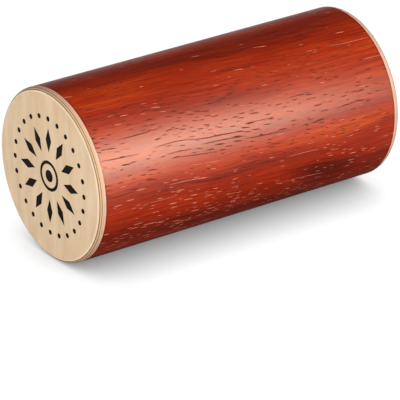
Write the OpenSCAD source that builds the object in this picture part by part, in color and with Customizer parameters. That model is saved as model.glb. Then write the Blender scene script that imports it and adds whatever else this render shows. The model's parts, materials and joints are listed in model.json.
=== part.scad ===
// Percussion shaker: a veneered wooden tube closed by two plywood discs, with loose steel shot inside.
// It lies on its side. +X runs along the tube, +Z is up, and the origin is under the middle of the tube.

/* [Tube] */
// Outside diameter of the tube and of both end discs
tube_d = 63; // [45:1:80]
// Length over both end discs
overall_l = 130; // [100:1:180]
// Thickness of the red veneer wound round the outside
veneer_t = 0.8; // [0.5:0.1:1.5]
// Thickness of the cross-grain sheet under the veneer
cross_t = 1.2; // [0.8:0.1:2]
// Thickness of the sheet that lines the chamber
liner_t = 0.9; // [0.6:0.1:1.5]
// Thickness of the glue between two wound sheets
sheet_glue_t = 0.05; // [0.02:0.01:0.1]
// Width of the butt seam where a wound sheet meets itself
seam_w = 0.2; // [0.1:0.05:0.5]

/* [End discs] */
// Thickness of the veneer on each side of a disc
face_t = 0.25; // [0.15:0.05:0.5]
// Thickness of the cross-grain ply under each of these veneers
crossband_t = 0.5; // [0.3:0.1:1]
// Thickness of the middle ply of a disc
core_t = 0.5; // [0.3:0.1:1.5]
// Thickness of each dark glue film between the plies of a disc
film_t = 0.1; // [0.05:0.01:0.15]
// Radius of the rounding along the outer rim of a disc
rim_r = 1.9; // [0.5:0.1:2.2]

/* [Shot] */
// Diameter of one steel ball
ball_d = 4; // [3:0.5:6]
// Balls in each row
row_balls = 12; // [4:1:14]
// Rows of balls that lie side by side along the chamber
row_count = 11; // [3:2:11]
// Balls in the arc that lies against each disc, across the rows
arc_balls = 7; // [3:2:11]
// Clear gap between neighbouring balls
ball_gap = 0.25; // [0.2:0.05:0.5]
// Clear gap between a ball and the wall of the chamber
wall_gap = 0.15; // [0.1:0.05:0.3]
// How far the rows are scattered along the chamber, either way from its middle
scatter = 12; // [0:1:15]

/* [Hidden] */
$fn = 96;
// A cutter reaches this far past the faces that it cuts
overcut = 1;

// Radii of the tube, from the outside in
tube_r = tube_d / 2;
cross_r = tube_r - veneer_t - sheet_glue_t;
liner_r = cross_r - cross_t - sheet_glue_t;
bore_r = liner_r - liner_t;

// Where each wound sheet closes, in degrees from straight up towards +Y
veneer_seam = 150;
cross_seam = 30;
liner_seam = 270;

// The plies of a disc, from its outer face towards the chamber
PLIES = ["face_veneer", "outer_crossband", "core_ply", "inner_crossband", "back_veneer"];
ply_t = [face_t, crossband_t, core_t, crossband_t, face_t];
last_ply = len(PLIES) - 1;
function ply_start(k) = k == 0 ? 0 : ply_start(k - 1) + ply_t[k - 1] + film_t;
disc_t = ply_start(last_ply) + ply_t[last_ply];
tube_l = overall_l - 2 * disc_t;
// The rounding ends before the joint with the tube
rounding_r = min(rim_r, disc_t - face_t);

// The shot lies on the lower wall of the chamber, one ball deep: rows along it, and an arc at either end
ball_pitch = ball_d + ball_gap;
bed_r = bore_r - wall_gap - ball_d / 2;
bed_step = 2 * asin(ball_pitch / 2 / bed_r);
arc_x = tube_l / 2 - wall_gap - ball_d / 2;
// Successive rows are shifted by this angle of a sine wave, so that their ends don't line up
scatter_turn = 140;
function row_shift(i) = scatter * sin(i * scatter_turn);
// How far a ball is from the middle of its row or arc, counted in balls
function from_middle(i, count) = i - (count + 1) / 2;

// Colours of the woods, the glue and the shot
padouk_red = "#AD442B";
beech_tan = "#C9A37A";
birch_cream = "#EBD2AE";
birch_tan = "#CFA67C";
glue_brown = "#6E4A2C";
shot_grey = "#B9BCC0";

// Names of the repeated pieces
ENDS = ["front", "rear"];
function ply_name(end, k) = str(end, "_", PLIES[k]);
function film_name(end) = str(end, "_glue_films");
function arc_name(end) = str("shot_arc_", end);
function row_name(i) = str("shot_row_", i < 10 ? "0" : "", i);

// A sheet wound into a tube round the X axis, with the butt seam where it meets itself
module wound_sheet(outer_r, thickness, seam) {
    translate([0, 0, tube_r])
        rotate([0, 90, 0])
            difference() {
                cylinder(r = outer_r, h = tube_l, center = true);
                cylinder(r = outer_r - thickness, h = tube_l + 2 * overcut, center = true);
                rotate([0, 0, 180 - seam])
                    translate([outer_r - thickness - overcut, -seam_w / 2, -tube_l / 2 - overcut])
                        cube([thickness + 2 * overcut, seam_w, tube_l + 2 * overcut]);
            }
}

// The outermost sheet, with its grain along the tube
module padouk_veneer() {
    color(padouk_red) wound_sheet(tube_r, veneer_t, veneer_seam);
}

// The sheet in the middle of the wall, with its grain round the tube
module tube_cross_ply() {
    color(beech_tan) wound_sheet(cross_r, cross_t, cross_seam);
}

// The innermost sheet, which the shot runs on
module tube_liner() {
    color(birch_cream) wound_sheet(liner_r, liner_t, liner_seam);
}

// Stands a disc that is drawn with its outer face on z = 0 at one end of the tube
module at_end(end) {
    rotate([0, 0, end == "rear" ? 180 : 0])
        translate([-overall_l / 2, 0, tube_r])
            rotate([0, 90, 0])
                children();
}

// A whole disc with its outer rim rounded over
module rounded_disc() {
    rotate_extrude() {
        square([tube_r - rounding_r, disc_t]);
        translate([0, rounding_r]) square([tube_r, disc_t - rounding_r]);
        translate([tube_r - rounding_r, rounding_r]) circle(rounding_r);
    }
}

// The layer of a disc between two depths under its outer face
module disc_layer(depth, thickness) {
    intersection() {
        rounded_disc();
        translate([0, 0, depth]) cylinder(r = tube_r + overcut, h = thickness);
    }
}

// One ply of a disc: the grain turns a quarter from ply to ply, so every other edge is darker end grain
module disc_ply(end, k) {
    color(k % 2 == 0 ? birch_cream : birch_tan)
        at_end(end) disc_layer(ply_start(k), ply_t[k]);
}

// The glue films of a disc, which show as thin dark lines round its edge
module disc_glue_films(end) {
    color(glue_brown)
        for (k = [1 : last_ply])
            at_end(end) disc_layer(ply_start(k) - film_t, film_t);
}

// One ball on the wall of the chamber, so many ball steps round from its lowest line
module ball_on_wall(x, steps) {
    angle = steps * bed_step;
    translate([x, bed_r * sin(angle), tube_r - bed_r * cos(angle)])
        sphere(d = ball_d);
}

// One row of shot, which slides along the chamber
module shot_row(i) {
    color(shot_grey)
        for (j = [1 : row_balls])
            ball_on_wall(row_shift(i) + from_middle(j, row_balls) * ball_pitch, from_middle(i, row_count));
}

// The arc of shot against a disc, which swirls round the chamber
module shot_arc(end) {
    color(shot_grey)
        for (j = [1 : arc_balls])
            ball_on_wall(end == "front" ? -arc_x : arc_x, from_middle(j, arc_balls));
}

padouk_veneer();
tube_cross_ply();
tube_liner();
for (end = ENDS) {
    for (k = [0 : last_ply])
        disc_ply(end, k);
    disc_glue_films(end);
    shot_arc(end);
}
for (i = [1 : row_count])
    shot_row(i);
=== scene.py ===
# %% [markdown]
# # A percussion shaker in wood
#
# The real object is a tube wound from thin sheets of wood, with red padouk veneer outside. Two birch
# plywood discs close its ends, and loose steel shot inside makes the sound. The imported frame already
# holds every piece at its real size, so this lesson gives the pieces that show a finer mesh and all of
# them a wood, glue or steel finish. Every length below is in metres, unless its name or a comment says
# otherwise.

import json
import math

import bpy
from mathutils import Euler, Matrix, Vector


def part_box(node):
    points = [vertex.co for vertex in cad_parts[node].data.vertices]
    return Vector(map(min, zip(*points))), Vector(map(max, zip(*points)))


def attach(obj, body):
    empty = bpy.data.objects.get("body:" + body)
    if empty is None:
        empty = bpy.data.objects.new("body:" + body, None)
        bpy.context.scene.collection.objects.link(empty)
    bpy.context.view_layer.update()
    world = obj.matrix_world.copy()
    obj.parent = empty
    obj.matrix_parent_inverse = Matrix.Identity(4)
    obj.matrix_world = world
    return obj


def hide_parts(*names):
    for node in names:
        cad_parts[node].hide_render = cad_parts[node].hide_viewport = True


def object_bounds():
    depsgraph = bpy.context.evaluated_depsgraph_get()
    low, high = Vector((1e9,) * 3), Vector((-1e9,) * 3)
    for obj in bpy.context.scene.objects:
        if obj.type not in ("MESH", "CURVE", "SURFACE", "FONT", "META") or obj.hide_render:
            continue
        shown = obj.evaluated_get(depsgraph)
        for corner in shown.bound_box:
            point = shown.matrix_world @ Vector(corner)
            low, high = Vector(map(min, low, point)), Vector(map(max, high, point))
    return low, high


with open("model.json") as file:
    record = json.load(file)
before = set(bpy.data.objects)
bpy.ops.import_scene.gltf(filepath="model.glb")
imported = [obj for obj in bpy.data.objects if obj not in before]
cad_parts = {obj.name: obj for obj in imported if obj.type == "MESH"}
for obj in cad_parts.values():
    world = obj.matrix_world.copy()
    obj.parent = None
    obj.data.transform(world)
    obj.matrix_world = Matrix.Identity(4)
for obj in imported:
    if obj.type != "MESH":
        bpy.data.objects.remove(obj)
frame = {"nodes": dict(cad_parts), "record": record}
cad_low, cad_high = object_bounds()
print("CAD box", [round(v, 5) for v in cad_low], [round(v, 5) for v in cad_high])

# %% [markdown]
# ## Measures taken from the frame
#
# A piece that is modelled again has to lie exactly where its solid lies. So nothing is typed in that
# the frame can tell: the tube's radius is that of its grip mount, and the plies are as thick as the
# boxes of their nodes. The tube's axis runs along X, at one radius above the floor.

# %% Measure the tube and the discs
MM = 0.001
mounts = {mount["name"]: mount for mount in frame["record"]["mounts"]}
TUBE_RADIUS = mounts["tube_grip"]["dims"]["r_mm"] * MM
AXIS = Vector((0, 0, TUBE_RADIUS))
HALF_LENGTH = cad_high.x
veneer_low, veneer_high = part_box("padouk_veneer")
VENEER_LENGTH = veneer_high.x - veneer_low.x
DISC_THICKNESS = HALF_LENGTH - veneer_high.x
print(f"tube {2 * TUBE_RADIUS / MM:.1f} mm across, discs {DISC_THICKNESS / MM:.2f} mm thick")

# %% [markdown]
# ## Working with operators
#
# Blender's operators act on whatever is selected, and loading the frame leaves its nodes selected. So
# each piece starts by clearing the selection. Edit mode works the same way: the helpers below select
# all of a mesh, merge the points that a spin leaves on top of each other, and turn the faces outwards.

# %% Helpers for modelling
MERGE_DISTANCE = 0.0005 * MM
SMOOTH_ANGLE = math.radians(25)


def clear_selection():
    if bpy.context.object and bpy.context.object.mode != "OBJECT":
        bpy.ops.object.mode_set(mode="OBJECT")
    bpy.ops.object.select_all(action="DESELECT")


def select_only(*pieces):
    """Select these pieces and nothing else, and make the first one active."""
    clear_selection()
    for piece in pieces:
        piece.select_set(True)
    bpy.context.view_layer.objects.active = pieces[0]


def edit_all(piece):
    """Open one piece in edit mode, with all of its mesh selected."""
    select_only(piece)
    bpy.ops.object.mode_set(mode="EDIT")
    bpy.ops.mesh.select_all(action="SELECT")


def close_mesh():
    """Merge doubles, turn faces outwards, leave edit mode and shade the piece smooth up to an angle."""
    bpy.ops.mesh.select_all(action="SELECT")
    bpy.ops.mesh.remove_doubles(threshold=MERGE_DISTANCE)
    bpy.ops.mesh.normals_make_consistent(inside=False)
    bpy.ops.object.mode_set(mode="OBJECT")
    bpy.ops.object.shade_smooth_by_angle(angle=SMOOTH_ANGLE)
    bpy.ops.object.modifier_add(type="WEIGHTED_NORMAL")
    bpy.context.object.modifiers[-1].keep_sharp = True
    bpy.ops.object.modifier_apply(modifier=bpy.context.object.modifiers[-1].name)


# %% [markdown]
# ## The padouk veneer
#
# The skin of the tube is one sheet of veneer, wound once round and closed by a butt seam underneath.
# A cylinder with a hole would do for the shape, but it has no seam. So a thin upright rectangle, which
# is the section of the sheet, is spun round the tube's axis and stops short of a full turn. The sheet
# then gets the UV map that it had when it was flat: U runs along the tube and V round it.

# %% Wind the veneer
VENEER_THICKNESS = 0.8 * MM
VENEER_EASE = 0.06 * MM
SEAM_WIDTH = 0.2 * MM
SEAM_FROM_TOP = math.radians(150)
SPIN_STEPS = 288

seam_turn = SEAM_WIDTH / TUBE_RADIUS
first_turn = SEAM_FROM_TOP + seam_turn / 2
mid_radius = TUBE_RADIUS - VENEER_THICKNESS / 2
radial = Vector((0, math.sin(first_turn), math.cos(first_turn)))

clear_selection()
bpy.ops.mesh.primitive_plane_add(
    size=1, location=AXIS + radial * mid_radius, rotation=(math.pi / 2 - first_turn, 0, 0))
veneer = bpy.context.object
veneer.name = "padouk_sheet"
veneer.scale = (VENEER_LENGTH, VENEER_THICKNESS, 1)
bpy.ops.object.transform_apply(location=True, rotation=True, scale=True)
edit_all(veneer)
bpy.ops.mesh.bevel(offset=VENEER_EASE, segments=2, affect="VERTICES")
bpy.ops.mesh.select_all(action="SELECT")
bpy.ops.mesh.spin(steps=SPIN_STEPS, angle=math.tau - seam_turn, center=AXIS, axis=(-1, 0, 0))
close_mesh()
print("veneer sheet:", len(veneer.data.polygons), "faces")

# %% Map the sheet as it was when flat
SHEET_MAP = "flat_sheet"

sheet_map = veneer.data.uv_layers.active
sheet_map.name = SHEET_MAP
for loop in veneer.data.loops:
    x, y, z = veneer.data.vertices[loop.vertex_index].co - AXIS
    turn = (math.atan2(y, z) - SEAM_FROM_TOP) % math.tau
    sheet_map.data[loop.index].uv = (x / VENEER_LENGTH + 0.5, turn / math.tau)
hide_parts("padouk_veneer")
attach(veneer, "shell")
print("mapped corners:", len(veneer.data.loops))

# %% [markdown]
# ## The plywood discs
#
# Each disc is sawn from a five-ply birch board, and its outer rim is rounded over through all the
# plies. Five separate washers could stand for the plies, but their roundings would never quite meet. So
# the disc is modelled once as a whole, as a lathe would turn it: half of its section is rounded at one
# corner and spun round the axis. Copies of it are then cut into layers with bisect, which leaves each
# ply and each dark glue film as a closed solid with its own stretch of the rounding.

# %% Turn a whole disc
RIM_RADIUS = 1.9 * MM
RIM_SEGMENTS = 16


def turn_disc(end, side):
    """A whole disc at one end of the tube; side is -1 at the front and 1 at the rear."""
    clear_selection()
    middle_x = HALF_LENGTH - DISC_THICKNESS / 2
    middle = AXIS + Vector((side * middle_x, 0, TUBE_RADIUS / 2))
    bpy.ops.mesh.primitive_plane_add(size=1, location=middle, rotation=(math.pi / 2, 0, 0))
    disc = bpy.context.object
    disc.name = f"{end}_disc_blank"
    disc.scale = (DISC_THICKNESS, TUBE_RADIUS, 1)
    bpy.ops.object.transform_apply(location=True, rotation=True, scale=True)
    edit_all(disc)
    bpy.ops.mesh.select_all(action="DESELECT")
    bpy.ops.object.mode_set(mode="OBJECT")
    for vertex in disc.data.vertices:
        vertex.select = vertex.co.x * side > middle_x and vertex.co.z > middle.z
    bpy.ops.object.mode_set(mode="EDIT")
    bpy.ops.mesh.bevel(offset=RIM_RADIUS, segments=RIM_SEGMENTS, affect="VERTICES")
    bpy.ops.mesh.select_all(action="SELECT")
    bpy.ops.mesh.spin(steps=SPIN_STEPS, angle=math.tau, center=AXIS, axis=(1, 0, 0))
    close_mesh()
    return disc


blanks = {"front": turn_disc("front", -1), "rear": turn_disc("rear", 1)}
print("disc blanks:", {end: len(blank.data.polygons) for end, blank in blanks.items()}, "faces")


# %% Cut a layer out of a disc
def copy_of(piece):
    """A copy of a piece, with a mesh of its own."""
    select_only(piece)
    bpy.ops.object.duplicate()
    return bpy.context.object


def cut_layer(disc, name, low_x, high_x):
    """A copy of the whole disc, cut down to the layer between two places along the axis."""
    layer = copy_of(disc)
    layer.name = name
    for place, outwards in ((low_x, (-1, 0, 0)), (high_x, (1, 0, 0))):
        if veneer_high.x + MERGE_DISTANCE < abs(place) < HALF_LENGTH - MERGE_DISTANCE:
            edit_all(layer)
            bpy.ops.mesh.bisect(
                plane_co=(place, 0, 0), plane_no=outwards, use_fill=True, clear_outer=True)
    edit_all(layer)
    close_mesh()
    return layer


# %% Cut the plies and the glue films
PLIES = ["face_veneer", "outer_crossband", "core_ply", "inner_crossband", "back_veneer"]


def join_pieces(pieces, name):
    """Join pieces into the first one, and give it a new name."""
    select_only(*pieces)
    bpy.ops.object.join()
    pieces[0].name = name
    return pieces[0]


discs = {}
for end, blank in blanks.items():
    boxes = [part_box(f"{end}_{ply}") for ply in PLIES]
    for ply, (low, high) in zip(PLIES, boxes):
        layer = cut_layer(blank, f"{end}_{ply}_layer", low.x, high.x)
        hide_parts(f"{end}_{ply}")
        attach(layer, "shell")
        discs[end, ply] = layer
    films = []
    for (low, high), (next_low, next_high) in zip(boxes, boxes[1:]):
        gap = sorted((low.x, high.x, next_low.x, next_high.x))[1:3]
        films.append(cut_layer(blank, f"{end}_film_{len(films)}", *gap))
    glue = join_pieces(films, f"{end}_glue_lines")
    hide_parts(f"{end}_glue_films")
    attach(glue, "shell")
    discs[end, "glue"] = glue
    bpy.data.objects.remove(blank)
print("disc layers:", len(discs))

# %% [markdown]
# ## The print on the front disc
#
# The front disc carries a black print. It is drawn here as a plain rosette: a ring of dots, a ring of
# diamonds and a ringed dot in the middle. It could be painted in the wood's material, but its edges
# would then be as soft as the texture. So one dot and one diamond are modelled as thin films of ink,
# and copies of each are turned round the axis.

# %% Helpers for ink
INK_THICKNESS = 0.03 * MM


def ink_blot(name, corners, radius, ring=0.0, stretch=1.0):
    """A flat blot of ink with this many corners, at this distance above the axis, facing -X."""
    clear_selection()
    bpy.ops.mesh.primitive_circle_add(
        vertices=corners, radius=radius, fill_type="NGON",
        location=(-HALF_LENGTH, 0, AXIS.z + ring), rotation=(0, -math.pi / 2, 0))
    blot = bpy.context.object
    blot.name = name
    blot.scale = (1, stretch, 1)
    bpy.ops.object.transform_apply(location=True, rotation=True, scale=True)
    return blot


def thicken_ink(blot):
    """Give a flat blot the thickness of ink."""
    edit_all(blot)
    bpy.ops.mesh.extrude_region_move(TRANSFORM_OT_translate={"value": (-INK_THICKNESS, 0, 0)})
    close_mesh()


def ring_of(blot, count):
    """A blot and its copies, turned round the tube's axis."""
    copies = [blot]
    for step in range(1, count):
        copy = copy_of(blot)
        edit_all(copy)
        bpy.ops.transform.rotate(
            value=math.tau * step / count, orient_axis="X", center_override=AXIS)
        bpy.ops.object.mode_set(mode="OBJECT")
        copies.append(copy)
    return copies


# %% Dots and diamonds
DOT_COUNT = 24
DOT_CORNERS = 24
DOT_RADIUS = 0.95 * MM
DOT_RING = 21.5 * MM
DIAMOND_COUNT = 12
DIAMOND_RING = 13.4 * MM
DIAMOND_LENGTH = 9.0 * MM
DIAMOND_WIDTH = 3.4 * MM

dot = ink_blot("rosette_dot", DOT_CORNERS, DOT_RADIUS, DOT_RING)
thicken_ink(dot)
diamond = ink_blot(
    "rosette_diamond", 4, DIAMOND_LENGTH / 2, DIAMOND_RING, DIAMOND_WIDTH / DIAMOND_LENGTH)
thicken_ink(diamond)
print("one dot and one diamond:", len(dot.data.polygons) + len(diamond.data.polygons), "faces")

# %% The ringed dot in the middle
CENTRE_DOT = 2.2 * MM
CENTRE_CORNERS = 48
HOOP_OUTER = 5.6 * MM
HOOP_INNER = 4.4 * MM
HOOP_CORNERS = 96

centre = ink_blot("rosette_centre", CENTRE_CORNERS, CENTRE_DOT)
thicken_ink(centre)
hoop = ink_blot("rosette_hoop", HOOP_CORNERS, HOOP_OUTER)
edit_all(hoop)
bpy.ops.mesh.inset(thickness=HOOP_OUTER - HOOP_INNER)
bpy.ops.mesh.delete(type="FACE")
thicken_ink(hoop)
print("ringed dot:", len(centre.data.polygons) + len(hoop.data.polygons), "faces")

# %% Join the rosette
blots = ring_of(dot, DOT_COUNT) + ring_of(diamond, DIAMOND_COUNT) + [centre, hoop]
blot_count = len(blots)
rosette = join_pieces(blots, "front_rosette")
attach(rosette, "shell")
print("rosette:", len(rosette.data.polygons), "faces from", blot_count, "blots")

# %% [markdown]
# ## Building finishes from nodes
#
# Each finish below is a node tree that ends in a Principled shader. Trees can be drawn by hand in the
# shader editor, but in a script they soon grow long. These helpers keep them short: one starts a
# finish, one adds a node and fills or links its sockets, and one does arithmetic.

# %% Helpers for nodes
def new_finish(name):
    """An empty material, its node tree and its Principled shader."""
    material = bpy.data.materials.new(name)
    material.use_nodes = True
    return material, material.node_tree, material.node_tree.nodes["Principled BSDF"]


def add(tree, kind, inputs=None, **settings):
    """Add a shader node, set its options, and fill or link its inputs."""
    node = tree.nodes.new("ShaderNode" + kind)
    for name, value in settings.items():
        setattr(node, name, value)
    for key, value in (inputs or {}).items():
        if isinstance(value, bpy.types.NodeSocket):
            tree.links.new(value, node.inputs[key])
        else:
            node.inputs[key].default_value = value
    return node


def math_node(tree, operation, first, second=0.0, third=0.0, clamp=False):
    """One step of arithmetic on sockets and numbers."""
    inputs = {0: first, 1: second, 2: third}
    return add(tree, "Math", inputs, operation=operation, use_clamp=clamp).outputs[0]


# %% [markdown]
# ## The colour of padouk
#
# Padouk is orange to crimson, with broad bands, finer streaks and fibres. A picture of real wood could
# be wrapped round the tube, but it would be blurred close up. So the colour is drawn on the flat sheet
# in millimetres. The grain runs a little askew and in slow waves, noise that is drawn out along it
# makes the bands and streaks, and soft ovals set the light and dark areas of this one sheet. Two long
# ovals darken the top and the lower side of the tube: partly darker wood, partly painted shade where
# the light falls off.

# %% Streaks along the grain
STREAK_ROUGHNESS = 0.55


def streaks(tree, grain, along_mm, across_mm, detail, place):
    """Noise drawn out along the grain, about 0 to 1; place picks a stretch of it."""
    mapped = add(tree, "Mapping", {
        "Vector": grain, "Location": (place, place, 0),
        "Scale": (1 / along_mm, 1 / across_mm, 1)}).outputs[0]
    return add(tree, "TexNoise", {
        "Vector": mapped, "Scale": 1.0, "Detail": detail, "Roughness": STREAK_ROUGHNESS},
        noise_dimensions="2D").outputs["Fac"]


# %% Grain on the flat sheet
VENEER_GIRTH = math.tau * TUBE_RADIUS
GRAIN_SKEW = 0.045
# Length, width and height in millimetres of each wave of the grain, and its place on the noise
GRAIN_WAVES = [(150, 60, 2.4, 3.0), (38, 22, 0.8, 7.0)]
# Noise swings about a quarter to each side of its middle
NOISE_SWING = 0.25

padouk, wood, lacquer = new_finish("padouk_satin")
uv = add(wood, "UVMap", uv_map=SHEET_MAP).outputs["UV"]
sheet = add(wood, "Mapping", {
    "Vector": uv, "Scale": (VENEER_LENGTH / MM, VENEER_GIRTH / MM, 1)}).outputs[0]
flat = add(wood, "SeparateXYZ", {0: sheet}).outputs
bend = math_node(wood, "MULTIPLY_ADD", flat["X"], GRAIN_SKEW, flat["Y"])
for along_mm, across_mm, height_mm, place in GRAIN_WAVES:
    wave = streaks(wood, sheet, along_mm, across_mm, 1.0, place)
    bend = math_node(wood, "MULTIPLY_ADD", wave, height_mm / NOISE_SWING, bend)
grain = add(wood, "CombineXYZ", {"X": flat["X"], "Y": bend}).outputs[0]
print(f"flat sheet {VENEER_LENGTH / MM:.1f} x {VENEER_GIRTH / MM:.1f} mm, {len(GRAIN_WAVES)} waves")

# %% Bands, streaks and fibres
MIDDLE_TONE = 0.5

bands = streaks(wood, grain, along_mm=120, across_mm=12, detail=3.0, place=11.0)
fine = streaks(wood, grain, along_mm=26, across_mm=1.1, detail=4.0, place=23.0)
fibres = streaks(wood, grain, along_mm=7, across_mm=0.3, detail=2.0, place=31.0)
tone = MIDDLE_TONE
for streak, weight in ((bands, 0.65), (fine, 0.38), (fibres, 0.34)):
    swing = math_node(wood, "SUBTRACT", streak, MIDDLE_TONE)
    tone = math_node(wood, "MULTIPLY_ADD", swing, weight, tone)
print("tone of the wood:", len(wood.nodes), "nodes")

# %% Helpers for light and dark areas
def srgb(red, green, blue):
    """The linear colour of an on-screen colour, from 0 to 255."""
    def linear(value):
        share = value / 255
        return share / 12.92 if share <= 0.04045 else ((share + 0.055) / 1.055) ** 2.4
    return linear(red), linear(green), linear(blue), 1.0


def ramp(tree, factor, stops):
    """A colour ramp through these (place, colour) stops."""
    node = add(tree, "ValToRGB", {"Fac": factor})
    elements = node.color_ramp.elements
    while len(elements) < len(stops):
        elements.new(1.0)
    for element, (place, colour) in zip(elements, stops):
        element.position = place
        element.color = colour
    return node.outputs["Color"]


def smooth_step(tree, value, low, high):
    """0 below low, 1 above high, and smooth between; low may be the larger one."""
    return add(tree, "MapRange", {"Value": value, "From Min": low, "From Max": high},
               interpolation_type="SMOOTHSTEP").outputs["Result"]


def oval(tree, grain, middle, reach):
    """1 in the middle of an oval on the sheet, falling to 0 at its reach along and across the grain."""
    mapped = add(tree, "Mapping", {
        "Vector": grain, "Location": (-middle[0] / reach[0], -middle[1] / reach[1], 0),
        "Scale": (1 / reach[0], 1 / reach[1], 0)}).outputs[0]
    away = add(tree, "VectorMath", {0: mapped}, operation="LENGTH").outputs["Value"]
    return smooth_step(tree, away, 1.0, 0.0)


# %% Light and dark areas
# Middle and reach of each area on the sheet in millimetres, and how far it shifts the tone
FIGURE_AND_SHADE = [
    ((38, 80), (100, 6.5), 0.15),
    ((96, 80), (40, 9), 0.06),
    ((30, 73), (70, 3.5), -0.09),
    ((95, 63.5), (20, 9), -0.24),
    ((90, 109), (150, 9), 0.12),
    ((60, 98), (300, 8), 0.07),
    # These two darken the top and the lower side of the tube: partly darker wood, partly painted shade.
    ((60, 125), (300, 14), -0.03),
    ((60, 60), (300, 18), -0.17),
]
PADOUK_TONES = [
    (0.20, srgb(108, 22, 4)), (0.36, srgb(152, 33, 5)), (0.50, srgb(178, 44, 6)),
    (0.62, srgb(194, 57, 9)), (0.78, srgb(222, 98, 26))]

for middle, reach, shift in FIGURE_AND_SHADE:
    tone = math_node(wood, "MULTIPLY_ADD", oval(wood, grain, middle, reach), shift, tone)
colour = ramp(wood, tone, PADOUK_TONES)
print("light and dark areas:", len(FIGURE_AND_SHADE))

# %% [markdown]
# ## The pores of padouk
#
# Padouk has open pores, which lie along the grain as short dashes and a few long lines. Under the
# lacquer they stay as grooves. Most are empty and look dark. On the lower side of this tube many are
# pale: partly sanding dust in them, partly painted glints of the lacquer in the grooves. Thousands of
# grooves would be too many to model. So drawn-out Voronoi cells place them: at most one pore lies in
# each cell, and the cell's random colour says whether there is one, how large it is and whether it is
# pale.

# %% Pores in drawn-out cells
# Each row of cells is slid along the grain, so that pores don't line up across it
PORE_SLIDE = 0.45
# A pore is between these shares of its usual size
PORE_SIZES = (0.6, 1.3)


def pores(tree, grain, along_mm, across_mm, size, share, glint_dust_share, place):
    """Grooves along the grain, and those of them painted pale, partly as dust, partly as glints."""
    split = add(tree, "SeparateXYZ", {0: grain}).outputs
    slide = PORE_SLIDE * along_mm / across_mm
    slid = math_node(tree, "MULTIPLY_ADD", split["Y"], slide, split["X"])
    rows = add(tree, "CombineXYZ", {"X": slid, "Y": split["Y"]}).outputs[0]
    mapped = add(tree, "Mapping", {
        "Vector": rows, "Location": (place, place, 0),
        "Scale": (1 / along_mm, 1 / across_mm, 1)}).outputs[0]
    cell = add(tree, "TexVoronoi", {"Vector": mapped, "Scale": 1.0}, voronoi_dimensions="2D").outputs
    chance = add(tree, "SeparateColor", {0: cell["Color"]}).outputs
    least, most = (size * part for part in PORE_SIZES)
    reach = math_node(tree, "MULTIPLY_ADD", chance["Green"], most - least, least)
    away = math_node(tree, "DIVIDE", cell["Distance"], reach)
    hollow = math_node(tree, "SUBTRACT", 1.0, math_node(tree, "MULTIPLY", away, away))
    present = math_node(tree, "LESS_THAN", chance["Red"], share)
    groove = math_node(tree, "MULTIPLY", math_node(tree, "MAXIMUM", hollow, 0.0), present)
    # Pale pores: partly dust, partly painted glints.
    glinting_dust = math_node(tree, "LESS_THAN", chance["Blue"], glint_dust_share)
    return groove, math_node(tree, "MULTIPLY", groove, glinting_dust)


def share_inside(tree, grain, area, shares):
    """A share that rises from the first value outside an oval area to the second in its middle."""
    outside, inside = shares
    return math_node(tree, "MULTIPLY_ADD", oval(tree, grain, *area), inside - outside, outside)


# %% Dashes, flecks and lines
# Middle and reach in millimetres of the area of dust and painted glints, and of the one with long lines
GLINT_DUST_AREA = ((60, 60), (400, 30))
LINED_AREA = ((45, 82), (120, 20))
# Share of pores painted pale as dust and glints, and of cells with a line, outside and inside these
# areas
GLINT_DUST_SHARE = (0.14, 0.8)
LINED_SHARE = (0.05, 0.4)
# The share of cells that hold a dash where there are few, and how much it rises where they crowd
FEW_DASHES = 0.08
CROWDED_DASHES = 0.32
CROWD_EDGES = (0.3, 0.7)
FLECK_SHARE = 0.18

crowd = streaks(wood, grain, along_mm=60, across_mm=10, detail=1.0, place=43.0)
crowded = smooth_step(wood, crowd, *CROWD_EDGES)
dash_share = math_node(wood, "MULTIPLY_ADD", crowded, CROWDED_DASHES, FEW_DASHES)
glint_dust_share = share_inside(wood, grain, GLINT_DUST_AREA, GLINT_DUST_SHARE)
lined_share = share_inside(wood, grain, LINED_AREA, LINED_SHARE)
dashes = pores(
    wood, grain, along_mm=7.5, across_mm=0.82, size=0.21,
    share=dash_share, glint_dust_share=glint_dust_share, place=0.0)
flecks = pores(
    wood, grain, along_mm=5.0, across_mm=0.7, size=0.2,
    share=FLECK_SHARE, glint_dust_share=glint_dust_share, place=5.5)
lines = pores(
    wood, grain, along_mm=48, across_mm=0.8, size=0.18,
    share=lined_share, glint_dust_share=glint_dust_share, place=9.5)
groove, glint_dust = dashes
for more_grooves, more_glint_dust in (flecks, lines):
    groove = math_node(wood, "MAXIMUM", groove, more_grooves)
    glint_dust = math_node(wood, "MAXIMUM", glint_dust, more_glint_dust)
print("wood with pores:", len(wood.nodes), "nodes")

# %% Colour the pores and the ends of the sheet
EMPTY_PORE = srgb(84, 25, 13)
# Pale pores: partly dust, partly painted glints of the lacquer in the grooves.
PORE_GLINT_DUST = srgb(244, 142, 110)
# How far into a groove its colour is full
EMPTY_FULL_AT = 0.9
GLINT_DUST_FULL_AT = 0.6
SHEET_END = srgb(74, 20, 11)
END_SHADE_MM = 0.9
END_SHADE_SHARE = 0.6


def mix_colour(tree, factor, first, second):
    """The first colour where the factor is 0, and the second where it is 1."""
    node = add(tree, "Mix", {"Factor": factor}, data_type="RGBA")
    for socket, value in ((node.inputs[6], first), (node.inputs[7], second)):
        if isinstance(value, bpy.types.NodeSocket):
            tree.links.new(value, socket)
        else:
            socket.default_value = value
    return node.outputs[2]


empty = math_node(wood, "SUBTRACT", groove, glint_dust, clamp=True)
colour = mix_colour(wood, smooth_step(wood, empty, 0.0, EMPTY_FULL_AT), colour, EMPTY_PORE)
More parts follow.
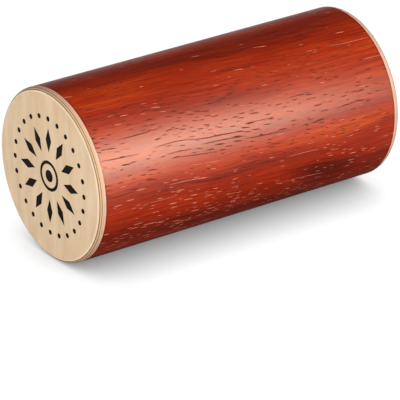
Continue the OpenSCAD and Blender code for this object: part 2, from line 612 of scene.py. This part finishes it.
# Painted glints and dust: the pale pores on the lower side.
colour = mix_colour(wood, smooth_step(wood, glint_dust, 0.0, GLINT_DUST_FULL_AT), colour, PORE_GLINT_DUST)
half_mm = VENEER_LENGTH / MM / 2
from_middle = math_node(wood, "ABSOLUTE", math_node(wood, "SUBTRACT", flat["X"], half_mm))
at_end = smooth_step(wood, from_middle, half_mm - END_SHADE_MM, half_mm)
end_shade = math_node(wood, "MULTIPLY", at_end, END_SHADE_SHARE)
colour = mix_colour(wood, end_shade, colour, SHEET_END)
print("colour of the wood:", len(wood.nodes), "nodes")

# %% [markdown]
# ## The satin lacquer
#
# A thin satin lacquer lies on the veneer. It doesn't fill the pores, so they go into the bump and the
# roughness as well as the colour. The fibres scatter light more across the grain than along it. A
# rougher lacquer could be used, but it would scatter light evenly. So the shader is anisotropic, with
# the sheet's UV map to tell it which way the grain runs.

# %% Lacquer
PORE_DEPTH = 0.12 * MM
FIBRE_HEIGHT = 0.05
SMOOTHEST = 0.24
STREAK_DULLS = 0.1
PORE_DULLS = 0.5
LACQUER_SPECULAR = 0.12
ANISOTROPY = 0.88
QUARTER_TURN = 0.25


def put_on(material, *pieces):
    """Make a material a piece's only one."""
    for piece in pieces:
        piece.data.materials.clear()
        piece.data.materials.append(material)


relief = math_node(wood, "MULTIPLY", fibres, FIBRE_HEIGHT)
relief = math_node(wood, "MULTIPLY_ADD", groove, -1.0, relief)
bump = add(wood, "Bump", {"Height": relief, "Strength": 1.0, "Distance": PORE_DEPTH})
roughness = math_node(wood, "MULTIPLY_ADD", fine, STREAK_DULLS, SMOOTHEST)
roughness = math_node(wood, "MULTIPLY_ADD", groove, PORE_DULLS, roughness, clamp=True)
tangent = add(wood, "Tangent", direction_type="UV_MAP", uv_map=SHEET_MAP)
wood.links.new(colour, lacquer.inputs["Base Color"])
wood.links.new(roughness, lacquer.inputs["Roughness"])
wood.links.new(bump.outputs[0], lacquer.inputs["Normal"])
wood.links.new(tangent.outputs[0], lacquer.inputs["Tangent"])
lacquer.inputs["Specular IOR Level"].default_value = LACQUER_SPECULAR
lacquer.inputs["Anisotropic"].default_value = ANISOTROPY
lacquer.inputs["Anisotropic Rotation"].default_value = QUARTER_TURN
put_on(padouk, veneer)
print("padouk on", veneer.name)

# %% [markdown]
# ## The birch finishes
#
# Birch is pale cream with soft clouds and tiny flecks. The face ply's rounded edge is painted paler, a
# painted sheen where the shoulder catches the light. On the front disc the end grain of the first
# crossband drinks more lacquer and turns tan, and the plies under it are pinker. The rear disc's plies
# take the paler tones: painted light on the far rim. Beside each glue film the wood is stained brown,
# which draws the dark lines round the rim. Every layer could have a painted UV map. Here one helper
# makes all the plies, and finds the painted sheen and the stains from the depth under the disc's face,
# which Object coordinates give as the distance along X.

# %% Depths of the glue lines
# How strongly the first, second and third line stain the wood; the fourth doesn't show
STAIN_STRENGTHS = (0.75, 0.75, 0.4)

line_depths = [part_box(f"front_{ply}")[0].x + HALF_LENGTH for ply in PLIES[1:]]
stain_lines = list(zip(line_depths, STAIN_STRENGTHS))
print("glue lines at", [round(depth / MM, 2) for depth in line_depths], "mm")


def depth_under_face(tree, place):
    """How deep a point of either disc lies under its outer face."""
    along = add(tree, "SeparateXYZ", {0: place}).outputs["X"]
    return math_node(tree, "SUBTRACT", HALF_LENGTH, math_node(tree, "ABSOLUTE", along))


# %% A birch ply
CLOUD_EDGES = (0.3, 0.7)
FLECK_SCALE = 9.0
FLECK_EDGES = (0.6, 0.78)
FLECK_STRENGTH = 0.2
FLECK_BUMP = 0.25
FLECK_HEIGHT = 0.05 * MM
# Depth and strength of the painted sheen on the rounded shoulder
SHOULDER_DEPTH = 0.09 * MM
SHEEN_SHARE = 0.9
GLUE_STAIN = srgb(124, 84, 50)
STAIN_REACH = 0.12 * MM
STAIN_CORE = 0.4 * STAIN_REACH
WOOD_ROUGHNESS = 0.5
WOOD_SPECULAR = 0.15


def birch_finish(name, pale, deep, fleck, sheen_tone, clouds):
    """A ply with pale and deep clouds and flecks, a painted sheen on its rounded shoulder, and glue
    stains.
    """
    material, tree, shader = new_finish(name)
    place = add(tree, "TexCoord").outputs["Object"]
    mapped = add(tree, "Mapping", {"Vector": place, "Scale": clouds}).outputs[0]
    cloud = add(tree, "TexNoise", {
        "Vector": mapped, "Scale": 1.0, "Detail": 2.0, "Roughness": 0.5}).outputs["Fac"]
    specks = add(tree, "TexNoise", {
        "Vector": mapped, "Scale": FLECK_SCALE, "Detail": 2.0}).outputs["Fac"]
    colour = ramp(tree, cloud, list(zip(CLOUD_EDGES, (deep, pale))))
    flecked = smooth_step(tree, specks, *FLECK_EDGES)
    flecked = math_node(tree, "MULTIPLY", flecked, FLECK_STRENGTH)
    colour = mix_colour(tree, flecked, colour, fleck)

    depth = depth_under_face(tree, place)
    # Painted sheen: the shoulder just under the face is mixed towards the paler sheen tone.
    painted_sheen = smooth_step(tree, depth, 0.0, SHOULDER_DEPTH)
    painted_sheen = math_node(tree, "MULTIPLY", painted_sheen, SHEEN_SHARE)
    colour = mix_colour(tree, painted_sheen, colour, sheen_tone)
    for line_depth, strength in stain_lines:
        away = math_node(tree, "ABSOLUTE", math_node(tree, "SUBTRACT", depth, line_depth))
        stain = smooth_step(tree, away, STAIN_REACH, STAIN_CORE)
        stain = math_node(tree, "MULTIPLY", stain, strength)
        colour = mix_colour(tree, stain, colour, GLUE_STAIN)

    bump = add(tree, "Bump", {"Height": specks, "Strength": FLECK_BUMP, "Distance": FLECK_HEIGHT})
    tree.links.new(colour, shader.inputs["Base Color"])
    tree.links.new(bump.outputs[0], shader.inputs["Normal"])
    shader.inputs["Roughness"].default_value = WOOD_ROUGHNESS
    shader.inputs["Specular IOR Level"].default_value = WOOD_SPECULAR
    return material


# %% The plies of both boards
# Clouds in a metre along X, Y and Z
FACE_CLOUDS = (160, 240, 55)
RIM_CLOUDS = (900, 320, 320)

birch_face = birch_finish(
    "birch_face", pale=srgb(240, 212, 178), deep=srgb(226, 195, 157),
    fleck=srgb(206, 168, 126), sheen_tone=srgb(252, 228, 196), clouds=FACE_CLOUDS)
birch_end = birch_finish(
    "birch_end_grain", pale=srgb(222, 182, 142), deep=srgb(202, 161, 121),
    fleck=srgb(150, 106, 70), sheen_tone=srgb(216, 176, 136), clouds=RIM_CLOUDS)
birch_core = birch_finish(
    "birch_core", pale=srgb(236, 194, 159), deep=srgb(222, 178, 143),
    fleck=srgb(206, 164, 122), sheen_tone=srgb(230, 187, 151), clouds=RIM_CLOUDS)
birch_inner = birch_finish(
    "birch_inner", pale=srgb(248, 200, 172), deep=srgb(238, 187, 157),
    fleck=srgb(214, 164, 132), sheen_tone=srgb(244, 194, 165), clouds=RIM_CLOUDS)
boards = {
    "front": (birch_face, birch_end, birch_core, birch_inner, birch_inner),
    # The rear disc takes paler plies than the front: painted light on its rim.
    "rear": (birch_face, birch_core, birch_inner, birch_inner, birch_inner),
}
for (end, ply), layer in discs.items():
    if ply != "glue":
        put_on(boards[end][PLIES.index(ply)], layer)
print("birch on", len(discs) - len(boards), "plies")

# %% [markdown]
# ## Glue, ink and the hidden pieces
#
# The outer glue films are dark brown and dull, and the inner ones are nearly as pale as the wood, so
# their colour fades with the depth under the face. The ink is nearly black, with the fine unevenness
# of print on wood. The tube's inner sheets and the shot don't show from outside, but they are real
# pieces, so they have their own wood and steel. Each of these could be one flat colour, but real
# surfaces never are. So a helper mixes two tones over a fine noise.

# %% Glue
GLUE_GRIT = 1500.0
GLUE_BROWNS = [(0.3, srgb(84, 54, 30)), (0.7, srgb(120, 80, 46))]
FADED_GLUE = srgb(226, 176, 142)
GLUE_ROUGHNESS = 0.6

glue_finish, tree, shader = new_finish("ply_glue")
place = add(tree, "TexCoord").outputs["Object"]
grit = add(tree, "TexNoise", {"Vector": place, "Scale": GLUE_GRIT, "Detail": 4.0}).outputs["Fac"]
brown = ramp(tree, grit, GLUE_BROWNS)
faded = smooth_step(tree, depth_under_face(tree, place), line_depths[1], line_depths[3])
tree.links.new(mix_colour(tree, faded, brown, FADED_GLUE), shader.inputs["Base Color"])
shader.inputs["Roughness"].default_value = GLUE_ROUGHNESS
shader.inputs["Specular IOR Level"].default_value = WOOD_SPECULAR
put_on(glue_finish, discs["front", "glue"], discs["rear", "glue"])
print("glue fades from", round(line_depths[1] / MM, 2), "to", round(line_depths[3] / MM, 2), "mm")

# %% Ink
PLAIN_BUMP = 0.02 * MM


def plain_grained(name, light, dark, scale, roughness, metallic=0.0, specular=0.5):
    """A finish that varies between two tones over a fine noise."""
    material, tree, shader = new_finish(name)
    place = add(tree, "TexCoord").outputs["Object"]
    noise = add(tree, "TexNoise", {
        "Vector": place, "Scale": scale, "Detail": 4.0, "Roughness": 0.6}).outputs["Fac"]
    bump = add(tree, "Bump", {"Height": noise, "Strength": 0.3, "Distance": PLAIN_BUMP})
    colour = ramp(tree, noise, [(0.3, dark), (0.7, light)])
    tree.links.new(colour, shader.inputs["Base Color"])
    tree.links.new(bump.outputs[0], shader.inputs["Normal"])
    shader.inputs["Roughness"].default_value = roughness
    shader.inputs["Metallic"].default_value = metallic
    shader.inputs["Specular IOR Level"].default_value = specular
    return material


ink = plain_grained(
    "black_ink", light=srgb(34, 28, 23), dark=srgb(20, 16, 13),
    scale=2500, roughness=0.6, specular=0.04)
put_on(ink, rosette)
print("ink on", rosette.name)

# %% Inner sheets and shot
beech = plain_grained(
    "beech_raw", light=srgb(206, 168, 128), dark=srgb(184, 142, 102), scale=400, roughness=0.6)
birch_liner = plain_grained(
    "birch_liner", light=srgb(236, 208, 172), dark=srgb(220, 186, 146), scale=400, roughness=0.6)
steel = plain_grained(
    "shot_steel", light=srgb(205, 207, 210), dark=srgb(170, 173, 178),
    scale=900, roughness=0.22, metallic=1.0)
put_on(beech, frame["nodes"]["tube_cross_ply"])
put_on(birch_liner, frame["nodes"]["tube_liner"])
shot = [node for name, node in frame["nodes"].items() if name.startswith("shot_")]
put_on(steel, *shot)
print("shot groups:", len(shot))

# %% [markdown]
# ## Floor and backdrop
#
# The shaker lies on a white floor. A floor that is white by its colour would need strong lamps, and
# would throw their light back onto the wood. So this one is grey to the lamps, and glows white for the
# camera and in reflections. Ambient occlusion takes the glow away where the shaker shades the floor: a
# near one leaves the soft shadow that the camera sees, and a wide one leaves the dark floor that the
# lacquer reflects. The world is white along the horizon and dim overhead.

# %% Floor
WHITE = (1.0, 1.0, 1.0, 1.0)
FLOOR_GREY = (0.12, 0.12, 0.12, 1.0)
FLOOR_SIZE = 16.0
FLOOR_GAP = 0.02 * MM
SHADE_NEAR = 0.024
NEAR_STEP = (-0.3, 0.9)
SHADE_WIDE = 0.25
WIDE_STEP = (0.75, 1.0)
SHADE_SAMPLES = 16


def open_floor(tree, distance, step):
    """1 where the floor is open, falling towards 0 where something stands within a distance of it."""
    light = add(tree, "AmbientOcclusion", {"Distance": distance}, samples=SHADE_SAMPLES).outputs["AO"]
    return smooth_step(tree, light, *step)


pale_floor, tree, shader = new_finish("pale_floor")
ray = add(tree, "LightPath").outputs
mirrored = math_node(tree, "MAXIMUM", ray["Is Glossy Ray"], ray["Is Transmission Ray"])
seen = math_node(tree, "MULTIPLY", ray["Is Camera Ray"], open_floor(tree, SHADE_NEAR, NEAR_STEP))
glow = math_node(tree, "MULTIPLY_ADD", mirrored, open_floor(tree, SHADE_WIDE, WIDE_STEP), seen)
tree.links.new(glow, shader.inputs["Emission Strength"])
shader.inputs["Emission Color"].default_value = WHITE
shader.inputs["Base Color"].default_value = FLOOR_GREY
shader.inputs["Roughness"].default_value = 0.9
shader.inputs["Specular IOR Level"].default_value = 0.0

clear_selection()
bpy.ops.mesh.primitive_plane_add(size=FLOOR_SIZE, location=(0, 0, -FLOOR_GAP))
floor = bpy.context.object
floor.name = "floor"
put_on(pale_floor, floor)
print("floor", FLOOR_SIZE, "m wide")

# %% World
OVERHEAD = (0.08, 0.08, 0.08, 1.0)
# How high white reaches above the horizon, and where the dim sky starts, as the sine of the elevation
HORIZON_TOP = 0.02
OVERHEAD_FROM = 0.08

world = bpy.data.worlds.new("studio")
bpy.context.scene.world = world
world.use_nodes = True
sky = world.node_tree
direction = add(sky, "TexCoord").outputs["Generated"]
rise = add(sky, "SeparateXYZ", {0: direction}).outputs["Z"]
backdrop = ramp(sky, rise, [(0.0, WHITE), (HORIZON_TOP, WHITE), (OVERHEAD_FROM, OVERHEAD)])
sky.links.new(backdrop, sky.nodes["Background"].inputs["Color"])
print("world", world.name)

# %% [markdown]
# ## Light
#
# The light comes from soft lamps at about the camera's height or lower, which leaves the top and the
# bottom of the tube darker than its side. One softbox lights the front disc, one the side of the tube,
# one the rear disc and a weak one the back. These lamps could also draw the long highlight on the
# lacquer, but then their places would settle both, and each would glare along the tube when it is seen
# against the light. So they don't show in reflections, and the highlight has a tall strip of its own.

# %% Helpers for lamps
def facing(azimuth, elevation):
    """The turn of a lamp or camera that looks at the shaker from this direction, in degrees."""
    return Euler((math.radians(90 - elevation), 0, math.radians(azimuth)))


def softbox(name, azimuth, elevation, distance, size, watts):
    """A rectangular lamp of this width and height, which faces the middle of the tube."""
    lamp = bpy.data.lights.new(name, "AREA")
    lamp.shape = "RECTANGLE"
    lamp.size, lamp.size_y = size
    lamp.energy = watts
    holder = bpy.data.objects.new(name, lamp)
    bpy.context.collection.objects.link(holder)
    holder.rotation_euler = facing(azimuth, elevation)
    holder.location = AXIS + holder.rotation_euler.to_matrix() @ Vector((0, 0, distance))
    return holder


# %% Softboxes
keys = [
    softbox("disc_key", azimuth=-60, elevation=12, distance=0.9, size=(0.5, 0.5), watts=7.6),
    softbox("front_key", azimuth=18, elevation=25, distance=0.9, size=(0.5, 0.5), watts=4.1),
    softbox("rear_key", azimuth=88, elevation=6, distance=0.9, size=(0.5, 0.3), watts=5.0),
    softbox("back_fill", azimuth=150, elevation=5, distance=1.0, size=(0.8, 0.2), watts=3.8),
]
for lamp in keys:
    lamp.visible_glossy = False
print("softboxes:", len(keys))

# %% Strip for the highlight
STRIP_TINT = (0.97, 1.0, 0.78)

strip = softbox(
    "streak_strip", azimuth=29.8, elevation=22.5, distance=1.2, size=(0.31, 0.7), watts=33.5)
strip.data.color = STRIP_TINT
strip.visible_diffuse = False
print("strip at", [round(v, 3) for v in strip.location])

# %% [markdown]
# ## Camera
#
# The photograph was taken with a long lens from about a metre away. Its focal length and direction were
# worked out from the outline of the tube, so the render lies on the same pixels. The lens is given for
# a square picture on a 36 mm sensor.

# %% Camera
LENS_MM = 301.6
SENSOR_MM = 36.0
VIEW_AZIMUTH = -35.79
VIEW_ELEVATION = 24.99
VIEW_DISTANCE = 1.205
VIEW_SHIFT = Vector((-0.63 * MM, 4.22 * MM, 0))

camera_data = bpy.data.cameras.new("camera")
camera_data.lens = LENS_MM
camera_data.sensor_width = SENSOR_MM
camera = bpy.data.objects.new("camera", camera_data)
bpy.context.collection.objects.link(camera)
camera.rotation_euler = facing(VIEW_AZIMUTH, VIEW_ELEVATION)
from_shaker = VIEW_SHIFT + Vector((0, 0, VIEW_DISTANCE))
camera.location = camera.rotation_euler.to_matrix() @ from_shaker
bpy.context.scene.camera = camera
bpy.context.scene.view_settings.view_transform = "Standard"
print("camera at", [round(v, 4) for v in camera.location])
